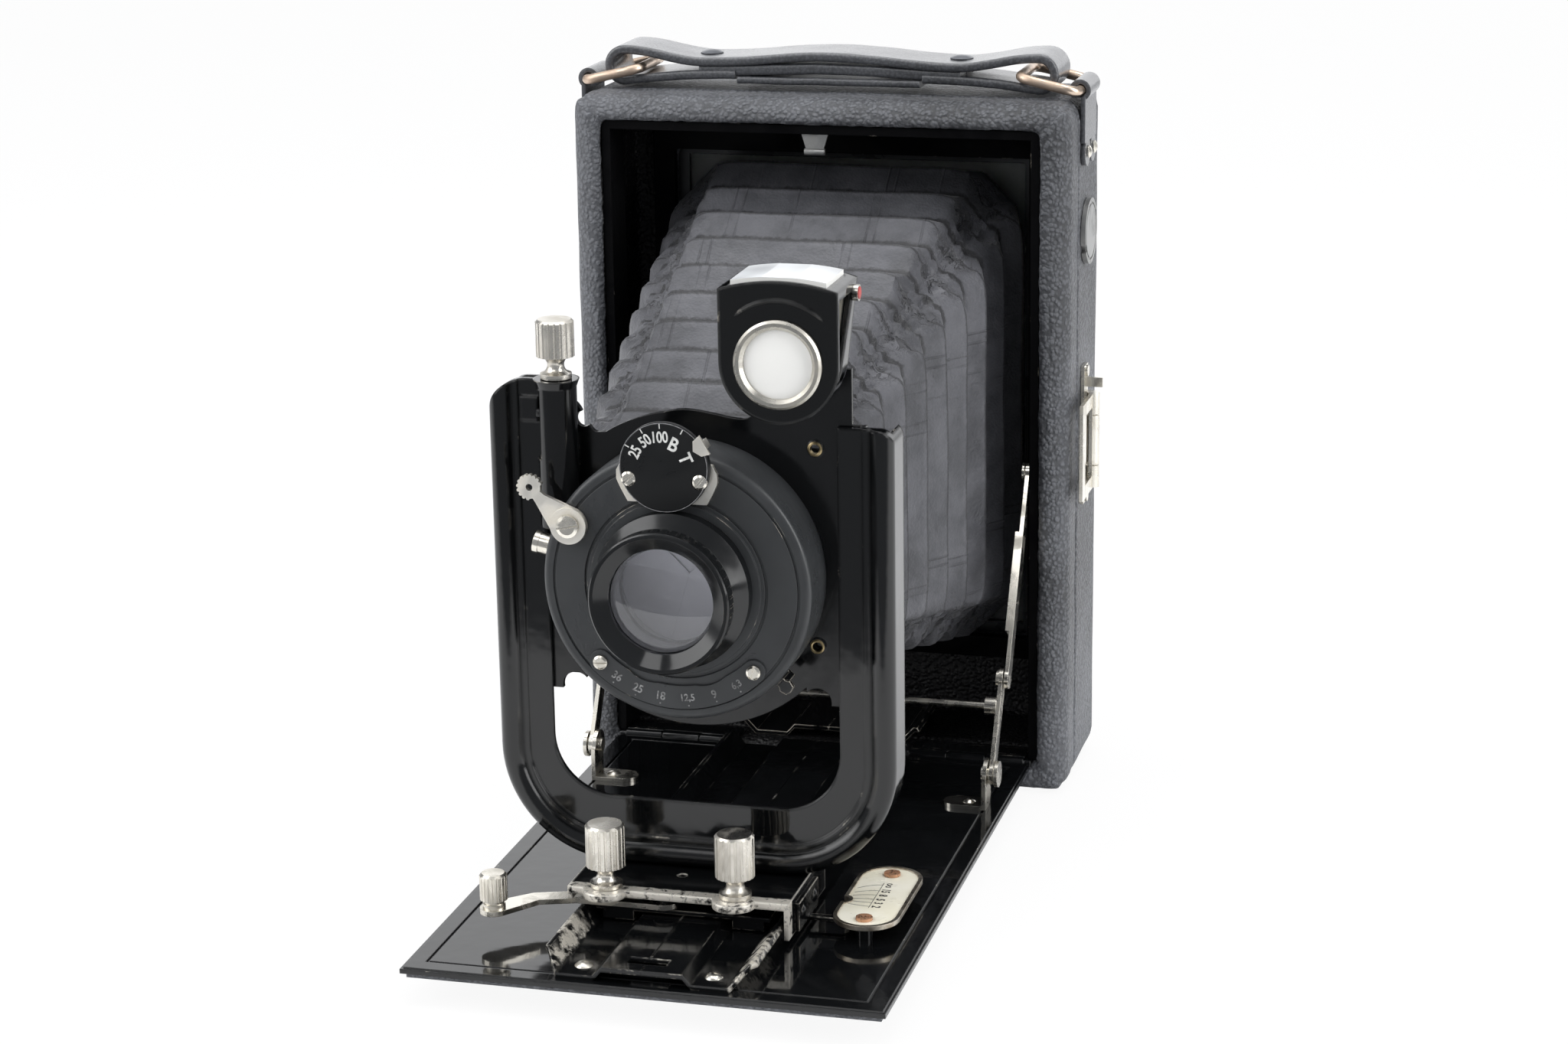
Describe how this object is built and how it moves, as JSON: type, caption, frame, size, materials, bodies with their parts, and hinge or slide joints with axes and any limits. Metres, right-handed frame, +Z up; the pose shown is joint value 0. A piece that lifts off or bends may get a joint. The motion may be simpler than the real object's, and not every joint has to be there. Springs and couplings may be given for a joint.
{
  "type": "folding plate camera",
  "caption": "Folding bed plate camera opened for use, with leather bellows, U standard, dial-set shutter, brilliant finder and focusing back.",
  "frame": {"origin": "middle of the body's bottom face, on the surface that it stands on", "axes": "+Z up, -Y the way the lens looks, +X to the right for someone facing the lens"},
  "size_m": [0.1206, 0.193, 0.1675],
  "materials": {
    "leather_covered_shell": "coarse pebbled black leather glued over a light metal shell",
    "leather_cover": "coarse pebbled black leather",
    "black_enamel": "glossy black enamel on sheet or die-cast aluminium, edges worn to bare metal",
    "black_anodised": "semi-gloss black lacquer on turned light alloy",
    "nickel": "warm nickel plate with light wear",
    "brass": "aged brass",
    "steel_leaf": "thin blued steel leaves",
    "strap_leather": "smooth black leather with dark cut edges",
    "strap_rivet": "black-lacquered domed rivet",
    "bellows_leather": "thin dull black leather, creased at the folds",
    "ivory": "ivory celluloid in a nickel rim",
    "glass": "clear coated glass",
    "mirror": "silvered mirror reflecting the pale ground"
  },
  "bodies": {
    "camera_body": {"front_shell": "leather_covered_shell", "rear_shell": "leather_covered_shell", "opening_liner": "black_enamel", "bellows_frame": "black_enamel", "case_track": "black_enamel", "bed_hinge": "nickel", "case_rivets": "nickel", "strap_lugs": "black_enamel", "finder_hinge": "nickel", "socket_plug": "nickel", "plate_rails": "black_enamel", "bellows": "bellows_leather"},
    "bed_catch": {"bed_catch": "nickel"},
    "ring_left": {"ring_left": "nickel"},
    "ring_right": {"ring_right": "nickel"},
    "strap": {"handle_strap": "strap_leather", "handle_rivets": "strap_rivet"},
    "frame_finder": {"finder_frame": "nickel"},
    "bed": {"bed_plate": "black_enamel", "bed_cover": "leather_cover", "bed_track": "black_enamel", "bed_rivets": "nickel", "strut_brackets": "nickel", "scale_plate": "ivory", "scale_screws": "brass", "tripod_bush": "nickel"},
    "lower_struts": {"lower_struts": "nickel"},
    "upper_strut_left": {"upper_strut_left": "nickel"},
    "upper_strut_right": {"upper_strut_right": "nickel"},
    "track_shoe": {"track_shoe": "black_enamel"},
    "carriage": {"carriage": "black_enamel", "distance_pointer": "black_enamel", "standard": "black_enamel"},
    "pull_knob_left": {"pull_knob_left": "nickel"},
    "pull_knob_right": {"pull_knob_right": "nickel"},
    "focus_lever": {"focus_lever": "nickel"},
    "lens_board": {"lens_board": "black_enamel", "rise_tube": "black_enamel", "shutter_housing": "black_enamel", "aperture_plate": "black_anodised", "speed_dial": "black_anodised", "dial_shield": "nickel", "shutter_screws": "nickel", "lens_barrel": "black_anodised", "front_glass": "glass", "rear_cell": "black_anodised", "shutter_blades": "steel_leaf", "iris_blades": "steel_leaf", "cable_nipple": "nickel"},
    "rise_knob": {"rise_knob": "nickel"},
    "release_lever": {"release_lever": "nickel"},
    "speed_pointer": {"speed_pointer": "nickel"},
    "aperture_pointer": {"aperture_pointer": "brass"},
    "brilliant_finder": {"finder_body": "black_anodised", "finder_ring": "nickel", "finder_glasses": "glass", "finder_mirror": "mirror"},
    "focusing_back": {"back_frame": "black_enamel", "focusing_glass": "glass"},
    "hood_lid": {"hood_lid": "black_enamel"}
  },
  "joints": [
    {"name": "bed_fold", "type": "hinge", "parent": "camera_body", "child": "bed", "pos_m": [0, -0.0182, 0.0074], "axis": [-1, 0, 0], "range_deg": [0, 28], "deforming": ["bellows"]},
    {"name": "lower_strut_fold", "type": "hinge", "parent": "bed", "child": "lower_struts", "pos_m": [0, -0.0475, 0.015], "axis": [-1, 0, 0], "range_deg": [0, 32.85]},
    {"name": "upper_strut_left_fold", "type": "hinge", "parent": "camera_body", "child": "upper_strut_left", "pos_m": [-0.0472, -0.013, 0.0746], "axis": [1, 0, 0], "range_deg": [0, 22.68]},
    {"name": "upper_strut_right_fold", "type": "hinge", "parent": "camera_body", "child": "upper_strut_right", "pos_m": [0.0472, -0.013, 0.0746], "axis": [1, 0, 0], "range_deg": [0, 22.68]},
    {"name": "track_travel", "type": "slide", "parent": "bed", "child": "track_shoe", "axis": [0, 1, 0], "range_m": [0, 0.02]},
    {"name": "carriage_focus", "type": "slide", "parent": "track_shoe", "child": "carriage", "axis": [0, -1, 0], "range_m": [0, 0.008]},
    {"name": "focus_lever_turn", "type": "hinge", "parent": "carriage", "child": "focus_lever", "pos_m": [-0.004, -0.131, 0.0127], "axis": [0, 0, -1], "range_deg": [0, 16]},
    {"name": "pull_knob_left_push", "type": "slide", "parent": "carriage", "child": "pull_knob_left", "axis": [1, 0, 0], "range_m": [0, 0.0015], "stiffness_N_per_m": 800, "springref_m": -0.001},
    {"name": "pull_knob_right_push", "type": "slide", "parent": "carriage", "child": "pull_knob_right", "axis": [-1, 0, 0], "range_m": [0, 0.0015], "stiffness_N_per_m": 800, "springref_m": -0.001},
    {"name": "lens_rise", "type": "slide", "parent": "carriage", "child": "lens_board", "axis": [0, 0, 1], "range_m": [-0.004, 0.008]},
    {"name": "rise_knob_turn", "type": "hinge", "parent": "lens_board", "child": "rise_knob", "pos_m": [-0.026, -0.1233, 0.12], "axis": [0, 0, 1], "range_deg": [-960, 1920]},
    {"name": "release_lever_press", "type": "hinge", "parent": "lens_board", "child": "release_lever", "pos_m": [-0.0213, -0.132, 0.0912], "axis": [0, -1, 0], "range_deg": [0, 30], "stiffness_Nm_per_rad": 0.02, "springref_deg": -5.73},
    {"name": "speed_pointer_turn", "type": "hinge", "parent": "lens_board", "child": "speed_pointer", "pos_m": [-0.001, -0.133, 0.1045], "axis": [0, -1, 0], "range_deg": [0, 115]},
    {"name": "aperture_pointer_turn", "type": "hinge", "parent": "lens_board", "child": "aperture_pointer", "pos_m": [0, -0.126, 0.0796], "axis": [0, 1, 0], "range_deg": [0, 89]},
    {"name": "brilliant_finder_turn", "type": "hinge", "parent": "lens_board", "child": "brilliant_finder", "pos_m": [0.0223, -0.125, 0.126], "axis": [0, -1, 0], "range_deg": [0, 90]},
    {"name": "frame_finder_turn", "type": "hinge", "parent": "camera_body", "child": "frame_finder", "pos_m": [0.0596, -0.001, 0.08], "axis": [0, 0, 1], "range_deg": [0, 90]},
    {"name": "strap_lift", "type": "slide", "parent": "camera_body", "child": "strap", "axis": [0, 0, 1], "range_m": [0, 0.003]},
    {"name": "ring_left_turn", "type": "hinge", "parent": "camera_body", "child": "ring_left", "pos_m": [-0.0566, 0.0015, 0.1596], "axis": [0, -1, 0], "range_deg": [0, 14]},
    {"name": "ring_right_turn", "type": "hinge", "parent": "camera_body", "child": "ring_right", "pos_m": [0.0566, 0.0015, 0.1596], "axis": [0, 1, 0], "range_deg": [0, 14]},
    {"name": "bed_catch_press", "type": "slide", "parent": "camera_body", "child": "bed_catch", "axis": [0, 1, 0], "range_m": [0, 0.0012], "stiffness_N_per_m": 600, "springref_m": -0.001},
    {"name": "focusing_back_draw", "type": "slide", "parent": "camera_body", "child": "focusing_back", "axis": [0, 0, 1], "range_m": [0, 0.12]},
    {"name": "hood_lid_open", "type": "hinge", "parent": "focusing_back", "child": "hood_lid", "pos_m": [0, 0.0286, 0.026], "axis": [-1, 0, 0], "range_deg": [0, 95]}
  ],
  "couplings": [
    {"joint": "lower_strut_fold", "follows": "bed_fold", "ratio": 1.1727},
    {"joint": "upper_strut_left_fold", "follows": "bed_fold", "ratio": 0.80982},
    {"joint": "upper_strut_right_fold", "follows": "bed_fold", "ratio": 0.80982},
    {"joint": "focus_lever_turn", "follows": "carriage_focus", "rad_per_m": 34.907},
    {"joint": "rise_knob_turn", "follows": "lens_rise", "rad_per_m": 4188.8},
    {"joint": "ring_left_turn", "follows": "strap_lift", "rad_per_m": 78},
    {"joint": "ring_right_turn", "follows": "strap_lift", "rad_per_m": 78}
  ]
}
